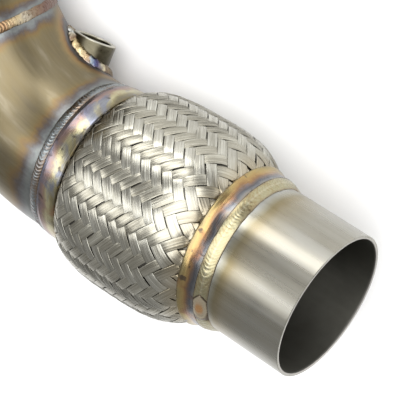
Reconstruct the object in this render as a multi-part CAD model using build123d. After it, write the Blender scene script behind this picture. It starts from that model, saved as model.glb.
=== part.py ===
from build123d import *
import math
import os

os.makedirs("parts", exist_ok=True)

# ---------------------------------------------------------------- dimensions (mm)
# The object is a welded stainless exhaust downpipe: outlet stub, braided flex
# coupling, mandrel-bent elbow with a sensor bung, upper pipe and inlet flange.
STUB_OD = 76.2            # 3 in outlet tube
PIPE_OD = 82.55           # 3 1/4 in elbow and upper pipe
WALL = 1.6                # tube wall
STUB_LEN = 43.5           # visible stub, from the edge of its weld
STUB_IN = -3.6            # where the stub starts, under the weld
STUB_SIZED = 2.6          # up to here its end is sized down a little for the weld
STUB_IN_R = 37.8
STUB_LEAN_Y = -2.83       # degrees, the flex coupling is set slightly off line
STUB_LEAN_Z = 0.8

X_WELD_OUT = -5.8         # flex-side edge of the outlet weld
X_COLLAR_OUT = -15.0      # braid-side edge of the outlet collar
X_COLLAR_IN = -92.8       # braid-side edge of the inlet collar
X_COLLAR_IN_END = -106.3  # elbow-side end of the inlet collar
X_ELBOW = -107.3          # start of the elbow, centre of the inlet weld
X_FLEX = -53.9            # middle of the flex coupling

FLEX_TILT_Y, FLEX_TILT_Z = -0.465, -0.602    # degrees, the flex runs to the inlet side's line
INLET_SHIFT = (0.0, 0.91, -0.70)             # the inlet side sits a little off the outlet's line
INLET_ROLL = 4.4                             # and its bend is turned about the flex axis

R_COLLAR = 42.9           # pressed end collars
T_COLLAR = 1.6
BRAID_T = 1.6             # braid thickness
BRAID_END_R = 41.0        # braid where the collars hold it
BRAID_FROM, BRAID_TO = -92.3, -15.7    # where it leaves the collars
BRAID_OUT_END = -14.1                  # its end inside the outlet collar
BRAID_R = [(-91.2, 43.0), (-90.0, 45.1), (-88.0, 47.1), (-84.0, 49.0), (-78.0, 50.5),
           (-72.0, 51.3), (-66.0, 51.65), (-54.0, 51.8), (-42.0, 51.6), (-36.0, 51.1),
           (-30.0, 49.9), (-24.0, 47.6), (-20.0, 45.1), (-17.2, 42.7)]

BELLOWS_T = 0.5           # bellows wall
BELLOWS_ROOT = 38.9       # outside of the bellows at its roots
BELLOWS_CREST = 48.8
BELLOWS_N = 9
LINER_R = 37.4            # outside of the interlocked liner
LINER_T = 1.2
LINER_PITCH = 5.0

BEND_R = 97.3             # elbow centre-line radius
BEND_DEG = 55.0           # elbow angle
BEND2_R = 80.0            # upper pipe centre-line radius
TOTAL_DEG = 90.0          # whole turn of the pipe
UPPER_STRAIGHT = 16.0     # straight end of the upper pipe

BUNG_OD = 23.0            # sensor bung, M18 x 1.5
BUNG_MINOR_R = 8.2
BUNG_AT_DEG = 17.05       # along the elbow
BUNG_OFF = -9.0           # its axis passes beside the pipe's centre line
BUNG_TOP = 51.4           # mouth, from the pipe's centre line
BUNG_DIR = (0.8245, 0.2679, -0.4985)   # towards the bend's centre, up the pipe, across

BEAD = 1.0                # height of a butt-weld bead
BEAD_HALF = 3.1           # half its width

FLANGE_R = 50.5           # V-band flange
FLANGE_LEN = 11.0

# How the finished pipe lies on its side: rotations about X, Y and Z of the
# straight-flex frame, then the lift to the floor and the shift to the middle.
LIE_X, LIE_Y, LIE_Z = 3.526, -7.055, 0.0
LIE_SHIFT = (101.90, -34.76, 60.15)

RP = PIPE_OD / 2
RS = STUB_OD / 2


# ---------------------------------------------------------------- helpers
def spin(points, plane_from=None):
    """Revolve a closed outline of (x, radius) points about the X axis."""
    face = make_face(Polyline(*[(x, r, 0) for x, r in points], close=True).edges())
    return revolve(face, axis=Axis.X, revolution_arc=360)


def spin_edges(edges):
    face = Face(Wire(edges))
    return revolve(face, axis=Axis.X, revolution_arc=360)


def bend_solid(start, heading, radius, angle, r_out, r_in=None):
    """Part of a torus in the XY plane, turning left, from start along heading (degrees)."""
    h = math.radians(heading)
    centre = (start[0] + radius * math.sin(h), start[1] - radius * math.cos(h), 0)
    # this pipe turns clockwise seen from +Z, about an axis pointing down
    plane = Plane(origin=(start[0], start[1], 0), x_dir=(0, 0, 1),
                  z_dir=(math.cos(h), math.sin(h), 0))
    ring = Circle(r_out)
    if r_in:
        ring = ring - Circle(r_in)
    face = plane * ring
    return revolve(face, axis=Axis(centre, (0, 0, -1)), revolution_arc=angle)


def along(solid, start, heading):
    """Place a solid made along +X at start, with +X turned to heading (degrees)."""
    return Pos(start[0], start[1], 0) * Rot(0, 0, heading) * solid


# ---------------------------------------------------------------- pipe route
# heading 180 is along -X; the pipe turns towards +Y, so the heading falls.
P0 = (X_ELBOW, 0.0)
H0 = 180.0


def step(start, heading, radius, angle):
    h = math.radians(heading)
    cx, cy = start[0] + radius * math.sin(h), start[1] - radius * math.cos(h)
    h2 = math.radians(heading - angle)
    return (cx - radius * math.sin(h2), cy + radius * math.cos(h2)), heading - angle


P1, H1 = step(P0, H0, BEND_R, BEND_DEG)
P2, H2 = step(P1, H1, BEND2_R, TOTAL_DEG - BEND_DEG)
h2 = math.radians(H2)
P3 = (P2[0] + UPPER_STRAIGHT * math.cos(h2), P2[1] + UPPER_STRAIGHT * math.sin(h2))

nodes = {}

# ---------------------------------------------------------------- outlet side
stub_place = Rot(0, -STUB_LEAN_Z, STUB_LEAN_Y)
stub = spin([(STUB_IN, RS - WALL), (STUB_LEN - 0.25, RS - WALL), (STUB_LEN, RS - WALL + 0.25),
             (STUB_LEN, RS - 0.25), (STUB_LEN - 0.25, RS), (STUB_SIZED, RS), (STUB_IN, STUB_IN_R)])
stub = stub_place * stub
stub_core = stub_place * spin([(STUB_IN, 0), (STUB_LEN, 0), (STUB_LEN, RS), (STUB_SIZED, RS),
                               (STUB_IN, STUB_IN_R)])
nodes["outlet_stub"] = stub

# the collar is pressed: a lip over the braid's end, necked down towards the weld
xo, xw, rc, tc = X_COLLAR_OUT, X_WELD_OUT, R_COLLAR, T_COLLAR
nodes["outlet_collar"] = spin([
    (xo, rc - tc), (xo, rc - 0.6), (xo + 0.4, rc - 0.15), (xo + 0.9, rc), (xo + 1.4, rc - 0.2),
    (xo + 2.2, rc - 0.75), (xo + 3.2, rc - 1.3), (xo + 4.6, rc - 1.7), (xo + 6.2, rc - 1.85),
    (xo + 7.8, rc - 1.9), (xw, rc - 1.95), (xw, RS - WALL), (xo + 1.8, RS - WALL),
    (xo + 1.8, rc - tc)])

bead = spin_edges([
    Line((xw, 36.5, 0), (xw, 40.9, 0)),
    ThreePointArc((xw, 40.9, 0), (-2.6, 39.95, 0), (0.5, 37.9, 0)),
    Line((0.5, 37.9, 0), (0.5, 36.5, 0)),
    Line((0.5, 36.5, 0), (xw, 36.5, 0))])
nodes["outlet_weld"] = bead - stub_core

# ---------------------------------------------------------------- flex coupling
xi, xe = X_COLLAR_IN, X_COLLAR_IN_END
nodes["inlet_collar"] = spin([
    (xi, rc - tc), (xi, rc - 0.6), (xi - 0.5, rc - 0.1), (xi - 1.6, rc),
    (xe + 3.4, rc), (xe + 1.6, rc - 0.4), (xe + 0.5, rc - 1.1), (xe, rc - 2.0),
    (xe, RP - WALL), (xe + tc, RP - WALL), (xe + tc, rc - tc - 0.8), (xe + tc + 0.9, rc - tc)])

# braid: a barrel-shaped sleeve, straight where the collars hold it
xb0, xb1 = xe + tc + 1.0, BRAID_OUT_END
outer_pts = BRAID_R
inner_pts = [(x, r - BRAID_T) for x, r in BRAID_R]
rise = (BRAID_R[0][0] - BRAID_FROM, BRAID_R[0][1] - BRAID_END_R, 0)
fall = (BRAID_TO - BRAID_R[-1][0], BRAID_END_R - BRAID_R[-1][1], 0)


def braid_chain(off):
    r = BRAID_END_R - off
    (xa, ra), (xz, rz) = BRAID_R[0], BRAID_R[-1]
    return [Line((xb0, r, 0), (BRAID_FROM, r, 0)), Line((BRAID_FROM, r, 0), (xa, ra - off, 0)),
            Spline(*[(x, q - off, 0) for x, q in BRAID_R], tangents=[rise, fall]),
            Line((xz, rz - off, 0), (BRAID_TO, r, 0)), Line((BRAID_TO, r, 0), (xb1, r, 0))]


br0, br1 = BRAID_END_R, BRAID_END_R - BRAID_T
nodes["outer_braid"] = spin_edges(
    [Line((xb0, br1, 0), (xb0, br0, 0))] + braid_chain(0)
    + [Line((xb1, br0, 0), (xb1, br1, 0))] + braid_chain(BRAID_T))


def braid_inner(x):
    """Inside radius of the braid at x, by straight lines between its points."""
    for (xa, ra), (xc, rb) in zip(inner_pts, inner_pts[1:]):
        if xa <= x <= xc:
            return ra + (rb - ra) * (x - xa) / (xc - xa)
    return BRAID_END_R - BRAID_T


# bellows: U-shaped convolutions between two plain cuffs
xl, xr = -90.5, -17.5
pitch = (xr - xl) / BELLOWS_N
q = pitch / 4
t = BELLOWS_T


def bellows_edges(off):
    """Outline of the bellows, left to right; off is 0 outside and BELLOWS_T inside."""
    root = BELLOWS_ROOT - off
    rc_, rr_ = q + t / 2 - off, q - t / 2 + off
    s = math.sqrt(0.5)
    edges = []
    x_first = xl + 0.5 * pitch - rc_ - rr_
    edges.append(Line((xb0, root, 0), (x_first, root, 0)))
    for i in range(BELLOWS_N):
        xm = xl + (i + 0.5) * pitch
        crest = min(BELLOWS_CREST, braid_inner(xm - q) - 0.7, braid_inner(xm + q) - 0.7) - off
        if i == 0:
            edges.append(ThreePointArc((x_first, root, 0),
                                       (xm - rc_ - rr_ + rr_ * s, root + rr_ * (1 - s), 0),
                                       (xm - rc_, root + rr_, 0)))
        edges.append(Line((xm - rc_, root + rr_, 0), (xm - rc_, crest - rc_, 0)))
        edges.append(ThreePointArc((xm - rc_, crest - rc_, 0), (xm, crest, 0),
                                   (xm + rc_, crest - rc_, 0)))
        edges.append(Line((xm + rc_, crest - rc_, 0), (xm + rc_, root + rr_, 0)))
        if i < BELLOWS_N - 1:
            edges.append(ThreePointArc((xm + rc_, root + rr_, 0), (xm + rc_ + rr_, root, 0),
                                       (xm + pitch - rc_, root + rr_, 0)))
        else:
            edges.append(ThreePointArc((xm + rc_, root + rr_, 0),
                                       (xm + rc_ + rr_ - rr_ * s, root + rr_ * (1 - s), 0),
                                       (xm + rc_ + rr_, root, 0)))
            x_last = xm + rc_ + rr_
    edges.append(Line((x_last, root, 0), (xb1, root, 0)))
    return edges


nodes["bellows"] = spin_edges(
    bellows_edges(0) + [Line((xb1, BELLOWS_ROOT, 0), (xb1, BELLOWS_ROOT - t, 0))]
    + bellows_edges(t) + [Line((xb0, BELLOWS_ROOT - t, 0), (xb0, BELLOWS_ROOT, 0))])

# interlocked liner: a stepped sleeve, each turn hooked into the next
n_steps = int((xb1 - xb0 - 4) // LINER_PITCH)
pts_hi, pts_lo = [(xb0, LINER_R)], [(xb0, LINER_R - LINER_T)]
x_cur = xb0 + 2
for k in range(n_steps):
    a, b = x_cur + LINER_PITCH * 0.7, x_cur + LINER_PITCH
    pts_hi += [(a, LINER_R), (a, LINER_R - 0.4), (b, LINER_R - 0.4), (b, LINER_R)]
    pts_lo += [(a - 1.2, LINER_R - LINER_T), (a - 1.2, LINER_R - LINER_T - 0.4),
               (b + 1.2, LINER_R - LINER_T - 0.4), (b + 1.2, LINER_R - LINER_T)]
    x_cur = b
pts_hi.append((xb1, LINER_R))
pts_lo.append((xb1, LINER_R - LINER_T))
# neighbouring inner lands would cross, so keep the points in order
clean = []
for p in pts_lo:
    if not clean or p[0] >= clean[-1][0] - 1e-9:
        clean.append(p)
nodes["interlock_liner"] = spin(pts_hi + clean[::-1])

# ---------------------------------------------------------------- elbow and bung
elbow = bend_solid(P0, H0, BEND_R, BEND_DEG, RP, RP - WALL)
elbow_core = bend_solid(P0, H0, BEND_R, BEND_DEG, RP)
a = math.radians(BUNG_AT_DEG)
pc = Vector(X_ELBOW - BEND_R * math.sin(a), BEND_R * (1 - math.cos(a)), 0)
n_in = Vector(math.sin(a), math.cos(a), 0)
t_up = Vector(-math.cos(a), math.sin(a), 0)
d = (n_in * BUNG_DIR[0] + t_up * BUNG_DIR[1] + Vector(0, 0, 1) * BUNG_DIR[2]).normalized()
bung_plane = Plane(origin=pc + d.cross(t_up).normalized() * BUNG_OFF, z_dir=(d.X, d.Y, d.Z))


def on_bung(r, h0, h1):
    return bung_plane * Pos(0, 0, h0) * Cylinder(r, h1 - h0, align=(Align.CENTER, Align.CENTER, Align.MIN))


nodes["elbow"] = elbow - on_bung(BUNG_MINOR_R + 0.3, 20, 70)
bung_body = on_bung(BUNG_OD / 2, 30, BUNG_TOP - 0.7)
bung_tip = bung_plane * Pos(0, 0, BUNG_TOP - 0.7) * Cone(BUNG_OD / 2, BUNG_OD / 2 - 0.7, 0.7,
                                                        align=(Align.CENTER, Align.CENTER, Align.MIN))
bung = bung_body + bung_tip - on_bung(BUNG_MINOR_R, 20, 70)
sink = bung_plane * Pos(0, 0, BUNG_TOP - 1.0) * Cone(BUNG_MINOR_R, BUNG_MINOR_R + 1.0, 1.0,
                                                    align=(Align.CENTER, Align.CENTER, Align.MIN))
bung = bung - sink - elbow_core
nodes["sensor_bung"] = bung
fat1 = bend_solid(P0, H0, BEND_R, BEND_DEG, RP + 3.4) & on_bung(BUNG_OD / 2 + 1.5, 20, BUNG_TOP - 1.2)
fat2 = bend_solid(P0, H0, BEND_R, BEND_DEG, RP + 1.7) & on_bung(BUNG_OD / 2 + 3.2, 20, BUNG_TOP - 1.2)
nodes["bung_weld"] = fat1 + fat2 - elbow_core - on_bung(BUNG_OD / 2, 20, 70)

# ---------------------------------------------------------------- inlet weld
w = X_ELBOW
nodes["inlet_weld"] = spin_edges([
    ThreePointArc((w - BEAD_HALF, RP + 0.1, 0), (w - 0.3, RP + 0.95, 0), (xe + 1.05, rc - 0.75, 0)),
    Line((xe + 1.05, rc - 0.75, 0), (xe + 0.5, rc - 1.1, 0)),
    Line((xe + 0.5, rc - 1.1, 0), (xe, rc - 2.0, 0)),
    Line((xe, rc - 2.0, 0), (xe, RP - WALL, 0)),
    Line((xe, RP - WALL, 0), (w, RP - WALL, 0)),
    Line((w, RP - WALL, 0), (w, RP, 0)),
    Line((w, RP, 0), (w - BEAD_HALF, RP + 0.1, 0))])

# ---------------------------------------------------------------- upper pipe and flange
up_bend = bend_solid(P1, H1, BEND2_R, TOTAL_DEG - BEND_DEG, RP, RP - WALL)
up_end = along(spin([(0, RP - WALL), (UPPER_STRAIGHT, RP - WALL), (UPPER_STRAIGHT, RP), (0, RP)]), P2, H2)
nodes["upper_pipe"] = up_bend + up_end


def cap_bead(h=BEAD, half=BEAD_HALF, lift_a=0.0, lift_b=0.0):
    """A low crowned ring over a butt joint; its edges lift where the pipe curves."""
    edges = [
        ThreePointArc((-half, RP + lift_a, 0), (0, RP + h, 0), (half, RP + lift_b, 0)),
        Line((half, RP + lift_b, 0), (0, RP, 0)),
        Line((0, RP, 0), (-half, RP + lift_a, 0))]
    return spin_edges(edges)


nodes["upper_weld"] = along(cap_bead(lift_a=0.1, lift_b=0.14), P1, H1)
fl = spin([(0, RP - WALL), (FLANGE_LEN - 1.2, RP - WALL), (FLANGE_LEN - 1.2, RP - WALL + 1.4),
           (FLANGE_LEN, RP - WALL + 1.4), (FLANGE_LEN, FLANGE_R - 3.2),
           (FLANGE_LEN - 1.0, FLANGE_R - 2.6), (FLANGE_LEN - 1.0, FLANGE_R - 0.4),
           (FLANGE_LEN - 1.4, FLANGE_R), (FLANGE_LEN - 3.0, FLANGE_R),
           (FLANGE_LEN - 5.6, RP + 2.2), (FLANGE_LEN - 7.0, RP + 0.6), (2.2, RP), (0, RP)])
nodes["inlet_flange"] = along(fl, P3, H2)
nodes["flange_weld"] = along(cap_bead(1.2, 2.2), P3, H2)

# ---------------------------------------------------------------- place and write
flex_place = Pos(-12, 0, 0) * Rot(0, FLEX_TILT_Y, FLEX_TILT_Z) * Pos(12, 0, 0)
inlet_place = Pos(*INLET_SHIFT) * Rot(INLET_ROLL, 0, 0)
places = {"outer_braid": flex_place, "bellows": flex_place, "interlock_liner": flex_place}
for name in nodes:
    if name not in places and not name.startswith("outlet"):
        places[name] = inlet_place
lie = Pos(*LIE_SHIFT) * Rot(0, 0, LIE_Z) * Rot(0, LIE_Y, 0) * Rot(LIE_X, 0, 0)
for name, shape in nodes.items():
    placed = lie * places[name] * shape if name in places else lie * shape
    solids = placed.solids()
    part = solids[0] if len(solids) == 1 else Compound(children=list(solids))
    part.label = name
    export_step(part, f"parts/{name}.step")
    print(name, len(solids), round(placed.volume, 1))
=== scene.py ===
import bmesh
import bpy
import math
import numpy as np
from mathutils import Matrix, Vector

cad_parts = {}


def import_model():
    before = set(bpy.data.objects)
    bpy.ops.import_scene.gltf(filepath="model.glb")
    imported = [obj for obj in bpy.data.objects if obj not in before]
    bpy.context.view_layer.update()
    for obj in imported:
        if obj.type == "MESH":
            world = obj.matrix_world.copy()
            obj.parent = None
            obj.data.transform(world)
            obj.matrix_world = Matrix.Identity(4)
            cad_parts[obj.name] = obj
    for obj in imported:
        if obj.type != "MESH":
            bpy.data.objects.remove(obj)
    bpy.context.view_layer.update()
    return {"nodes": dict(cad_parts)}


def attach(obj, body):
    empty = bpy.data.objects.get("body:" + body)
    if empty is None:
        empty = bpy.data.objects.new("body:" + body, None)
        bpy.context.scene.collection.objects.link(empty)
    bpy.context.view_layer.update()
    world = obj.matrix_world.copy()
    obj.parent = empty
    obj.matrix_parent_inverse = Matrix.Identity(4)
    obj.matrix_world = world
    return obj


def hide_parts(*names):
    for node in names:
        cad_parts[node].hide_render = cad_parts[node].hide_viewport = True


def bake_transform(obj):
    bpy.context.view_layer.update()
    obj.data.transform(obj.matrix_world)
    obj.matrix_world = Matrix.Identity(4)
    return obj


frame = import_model()
NODES = frame["nodes"]

# ------------------------------------------------------------------ frames
# The pipe is described in a frame of its own, in mm: the flex coupling's axis is X, the
# elbow turns in the XY plane. LIE and SHIFT lay that frame on the floor.
LIE = (3.526, -7.055, 0.0)
SHIFT = np.array([101.90, -34.76, 60.15])
STUB_LEAN = (-0.8, -2.83)          # about Y, about Z


def rot(ax, deg):
    return np.array(Matrix.Rotation(math.radians(deg), 3, ax))


R_LIE = rot("Z", LIE[2]) @ rot("Y", LIE[1]) @ rot("X", LIE[0])
R_STUB = rot("Y", STUB_LEAN[0]) @ rot("Z", STUB_LEAN[1])
# the flex coupling and the inlet side sit slightly off the outlet's line
R_FLEX, FLEX_AT = rot("Y", -0.465) @ rot("Z", -0.602), np.array([-12.0, 0.0, 0.0])
R_IN, IN_AT = rot("X", 4.4), np.array([0.0, 0.91, -0.70])


def flex(P):
    return (np.asarray(P, float) - FLEX_AT) @ R_FLEX.T + FLEX_AT


def inlet(P):
    return np.asarray(P, float) @ R_IN.T + IN_AT


def world(P):
    """Pipe frame in mm to the row frame in metres."""
    return (np.asarray(P, float) @ R_LIE.T + SHIFT) / 1000.0


RP, RS, WALL = 41.275, 38.1, 1.6
X_ELBOW, BEND_R, BEND_DEG = -107.3, 97.3, 55.0
BEND2_R, TOTAL_DEG, UPPER_STRAIGHT = 80.0, 90.0, 16.0
XW, XCO, XCI, XE = -5.8, -15.0, -92.8, -106.3
R_COLLAR = 42.9


def step(start, heading, radius, angle):
    h, h2 = math.radians(heading), math.radians(heading - angle)
    cx, cy = start[0] + radius * math.sin(h), start[1] - radius * math.cos(h)
    return (cx - radius * math.sin(h2), cy + radius * math.cos(h2)), heading - angle


P0, H0 = (X_ELBOW, 0.0), 180.0
P1, H1 = step(P0, H0, BEND_R, BEND_DEG)
P2, H2 = step(P1, H1, BEND2_R, TOTAL_DEG - BEND_DEG)
P3 = (P2[0] + UPPER_STRAIGHT * math.cos(math.radians(H2)),
      P2[1] + UPPER_STRAIGHT * math.sin(math.radians(H2)))


# ------------------------------------------------------------------ mesh making
def grid_mesh(name, V, Q, attrs=None, smooth=True):
    me = bpy.data.meshes.new(name)
    me.vertices.add(len(V))
    me.vertices.foreach_set("co", world(V).astype(np.float32).ravel())
    me.loops.add(4 * len(Q))
    me.loops.foreach_set("vertex_index", np.asarray(Q, np.int32).ravel())
    me.polygons.add(len(Q))
    me.polygons.foreach_set("loop_start", np.arange(0, 4 * len(Q), 4, dtype=np.int32))
    me.polygons.foreach_set("use_smooth", np.full(len(Q), smooth))
    me.update(calc_edges=True)
    bm = bmesh.new()
    bm.from_mesh(me)
    bmesh.ops.recalc_face_normals(bm, faces=bm.faces)
    bm.to_mesh(me)
    bm.free()
    for key, val in (attrs or {}).items():
        a = me.attributes.new(key, "FLOAT", "POINT")
        a.data.foreach_set("value", np.asarray(val, np.float32).ravel())
    ob = bpy.data.objects.new(name, me)
    bpy.context.scene.collection.objects.link(ob)
    return ob


def ring_quads(n_rings, n_pts, close_rings=True, base=0):
    """Quads between successive closed rings of n_pts points."""
    r = np.arange(n_rings if close_rings else n_rings - 1)
    i, k = np.meshgrid(r, np.arange(n_pts), indexing="ij")
    i2, k2 = (i + 1) % n_rings, (k + 1) % n_pts
    return (base + np.stack([i * n_pts + k, i * n_pts + k2, i2 * n_pts + k2, i2 * n_pts + k], -1)
            ).reshape(-1, 4)


def smooth_noise(t, seed, octaves=3, base=3):
    """Periodic noise over t in 0..1, mean 0, about -1..1."""
    rng = np.random.default_rng(seed)
    out = np.zeros_like(t)
    for o in range(octaves):
        for k in range(base * 2 ** o, base * 2 ** (o + 1)):
            out += rng.normal() * np.sin(2 * np.pi * (k * t + rng.random())) / (base * 2 ** o) ** 0.9
    return out / max(1e-9, np.abs(out).max())


def heading_place(at, heading):
    c, s = math.cos(math.radians(heading)), math.sin(math.radians(heading))
    M = np.array([[c, -s, 0], [s, c, 0], [0, 0, 1]])
    return lambda P: inlet(P @ M.T + np.array([at[0], at[1], 0.0]))


# ------------------------------------------------------------------ braid
KNOTS = np.array([(-91.2, 43.0), (-90.0, 45.1), (-88.0, 47.1), (-84.0, 49.0), (-78.0, 50.5),
                  (-72.0, 51.3), (-66.0, 51.65), (-54.0, 51.8), (-42.0, 51.6), (-36.0, 51.1),
                  (-30.0, 49.9), (-24.0, 47.6), (-20.0, 45.1), (-17.2, 42.7)])


def spline(kx, ky, x):
    n = len(kx)
    h = np.diff(kx)
    A = np.zeros((n, n))
    b = np.zeros(n)
    A[0, 0] = A[-1, -1] = 1
    for i in range(1, n - 1):
        A[i, i - 1:i + 2] = h[i - 1], 2 * (h[i - 1] + h[i]), h[i]
        b[i] = 6 * ((ky[i + 1] - ky[i]) / h[i] - (ky[i] - ky[i - 1]) / h[i - 1])
    M = np.linalg.solve(A, b)
    i = np.clip(np.searchsorted(kx, x) - 1, 0, n - 2)
    d, e = kx[i + 1] - x, x - kx[i]
    return (M[i] * d ** 3 + M[i + 1] * e ** 3) / (6 * h[i]) \
        + (ky[i] / h[i] - M[i] * h[i] / 6) * d + (ky[i + 1] / h[i] - M[i + 1] * h[i] / 6) * e


def braid_r(x):
    r = spline(KNOTS[:, 0], KNOTS[:, 1], np.clip(x, KNOTS[0, 0], KNOTS[-1, 0]))
    a = (KNOTS[0, 0] - x) * 1.8
    b = (x - KNOTS[-1, 0]) * 1.15
    r = np.where(x < KNOTS[0, 0], KNOTS[0, 1] - a, r)
    r = np.where(x > KNOTS[-1, 0], KNOTS[-1, 1] - b, r)
    return np.maximum(r, 40.95)


N_RIB = 38
ALPHA = {"a": 54.0, "b": 54.0}
TWILL = 1
X_B0, X_B1 = -97.5, -14.2
xs = np.linspace(X_B0, X_B1, 4000)
rs = braid_r(xs)


def wind(alpha):
    sa = np.sin(np.radians(alpha)) * np.minimum(rs / 51.8, 1.0)
    g = sa / np.sqrt(1 - sa ** 2) / rs
    G = np.concatenate([[0], np.cumsum((g[1:] + g[:-1]) / 2 * np.diff(xs))])
    return G - np.interp(-54.0, xs, G)


G = {k: wind(v) for k, v in ALPHA.items()}
WIRES = 8
TH = 0.40                        # ribbon thickness
AMP = 0.32                       # height of the weave


def weave_wave(t):
    """+1 on top of two ribbons, -1 under two."""
    w = 1.2 * np.cos(np.pi / 2 * (t - 0.5))
    return w / (1 + np.abs(w) ** 3) ** (1 / 3) * 1.15


def ribbons(name, fam, seed):
    rng = np.random.default_rng(seed)
    other = "b" if fam == "a" else "a"
    sg = 1.0 if fam == "a" else -1.0
    cross = (G[fam] + G[other]) * N_RIB / (2 * np.pi)
    n_seg = int(round((cross[-1] - cross[0]) * 4.0)) + 1
    cs = np.linspace(cross[0], cross[-1], n_seg)
    x = np.interp(cs, cross, xs)
    g = np.interp(x, xs, G[fam])
    go = np.interp(x, xs, G[other])
    r = np.interp(x, xs, rs)
    sa = np.sin(np.radians(ALPHA[fam])) * np.minimum(r / 51.8, 1.0)
    drdx = np.gradient(r, x)
    # the angle on the surface itself, which is longer than x where the sleeve drops to its collar
    al = np.arctan(np.tan(np.arcsin(sa)) / np.sqrt(1 + drdx ** 2))
    pitch = 2 * np.pi * r / N_RIB * np.cos(al)
    n_top = 2 * WIRES + 1
    n_ring = n_top + 3
    V, Q, tone, across, along, wire_id = [], [], [], [], [], []
    v_top = np.linspace(-1, 1, n_top)
    for i in range(N_RIB):
        phi0 = 2 * np.pi * i / N_RIB + rng.normal() * 0.006
        phi = phi0 + sg * g
        c = (phi + sg * go) * N_RIB / (2 * np.pi)      # index of the crossing ribbon here
        k = c + TWILL * i if fam == "a" else i + TWILL * c
        h = weave_wave(k) * (1.0 if fam == "a" else -1.0) * AMP
        wob = np.interp(np.arange(n_seg), np.arange(0, n_seg + 8, 8), rng.normal(size=len(np.arange(0, n_seg + 8, 8)))) * 0.08
        half = pitch * (0.489 + rng.normal() * 0.006)
        # frame on the surface: tangent along the ribbon, side across it, normal outwards
        er = np.stack([np.zeros(n_seg), np.sin(phi), np.cos(phi)], -1)
        et = np.stack([np.zeros(n_seg), np.cos(phi), -np.sin(phi)], -1)
        ex = np.stack([np.ones(n_seg), np.zeros(n_seg), np.zeros(n_seg)], -1)
        nx = -drdx / np.sqrt(1 + drdx ** 2)
        nr = 1 / np.sqrt(1 + drdx ** 2)
        nrm = ex * nx[:, None] + er * nr[:, None]
        mer = ex * nr[:, None] - er * nx[:, None]
        side = et * np.cos(al)[:, None] - mer * (sg * np.sin(al))[:, None]
        centre = ex * x[:, None] + er * r[:, None]
        base = h - AMP - TH / 2
        # per wire height and shade, slowly changing along the ribbon
        m = len(np.arange(0, n_seg + 5, 5))
        wz = rng.normal(size=(m, WIRES)) * 0.035
        wt = rng.normal(size=(1, WIRES)) * 0.8 + rng.normal(size=(m, WIRES)) * 0.5
        grid = np.arange(0, n_seg + 5, 5)
        wz = np.stack([np.interp(np.arange(n_seg), grid, wz[:, j]) for j in range(WIRES)], -1)
        wt = np.stack([np.interp(np.arange(n_seg), grid, wt[:, j]) for j in range(WIRES)], -1)
        ring = []
        att = []
        for j, v in enumerate(v_top):
            wj = min(j // 2, WIRES - 1)
            peak = j % 2 == 1
            z = TH / 2 + (wz[:, wj] if peak else -0.13)
            if j in (0, n_top - 1):
                z = TH / 2 - 0.18
            bow = -0.12 * v * v
            ring.append(centre + side * (v * half + wob)[:, None] + nrm * (base + z + bow)[:, None])
            att.append(wt[:, wj] if peak else (wt[:, wj] + wt[:, min(wj + 1, WIRES - 1)]) / 2)
        for v in (0.94, 0.0, -0.94):
            ring.append(centre + side * (v * half + wob)[:, None] + nrm * (base - TH / 2 + 0.04)[:, None])
            att.append(np.zeros(n_seg))
        ring = np.stack(ring, 1)
        b = sum(len(q) for q in V)
        V.append(ring.reshape(-1, 3))
        Q.append(ring_quads(n_seg, n_ring, close_rings=False, base=b))
        # end caps, as a fan of quads from the middle of the underside
        for e, flip in ((0, False), (n_seg - 1, True)):
            o = b + e * n_ring
            loop = [o + (n_top + 1 + j) % n_ring for j in range(n_ring)]
            for j in range(1, n_ring - 2, 2):
                quad = [loop[0], loop[j], loop[j + 1], loop[j + 2]]
                Q.append(np.array([quad[::-1] if flip else quad]))
        tone.append(np.stack(att, 1).ravel())
        across.append(np.tile(np.r_[v_top, 1, 0, -1], n_seg))
        along.append(np.repeat(c, n_ring) + 7.3 * i)
        wire_id.append(np.repeat(h / AMP, n_ring))
    ob = grid_mesh(name, flex(np.concatenate(V)), np.concatenate(Q),
                   {"tone": np.concatenate(tone), "across": np.concatenate(across),
                    "along": np.concatenate(along), "lift": np.concatenate(wire_id)})
    return ob


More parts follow.
